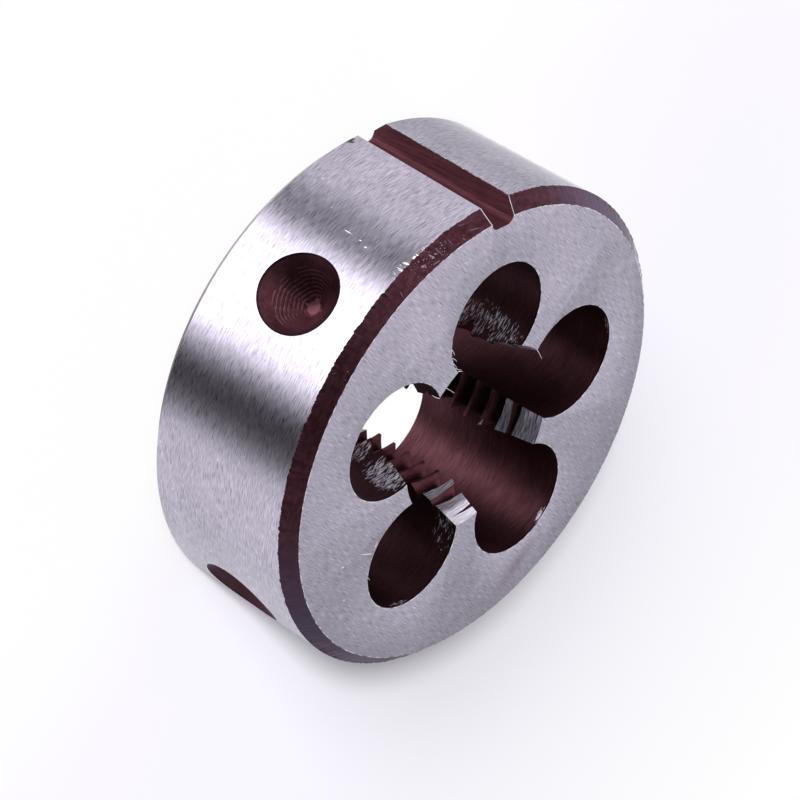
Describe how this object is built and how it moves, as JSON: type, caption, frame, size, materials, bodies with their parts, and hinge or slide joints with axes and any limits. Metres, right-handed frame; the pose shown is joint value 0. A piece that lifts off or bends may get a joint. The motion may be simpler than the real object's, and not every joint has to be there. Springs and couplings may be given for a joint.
{
  "type": "round threading die",
  "caption": "Round steel die with a ring of clearance holes around a toothed bore, for cutting an outside thread on a rod by hand or in a holder.",
  "frame": {"origin": "centre of the back face, on which the die lies", "axes": "+Z along the bore axis, towards the front face; +Y through the clearance hole beside the groove; +X completes a right-handed frame"},
  "size_m": [0.038, 0.038, 0.014],
  "materials": {
    "tool_steel": "ground faces and rim, with dark red-brown oxide left on the chamfers, groove, dimples and hole walls"
  },
  "bodies": {
    "root": {"threading_die": "tool_steel"}
  },
  "joints": []
}
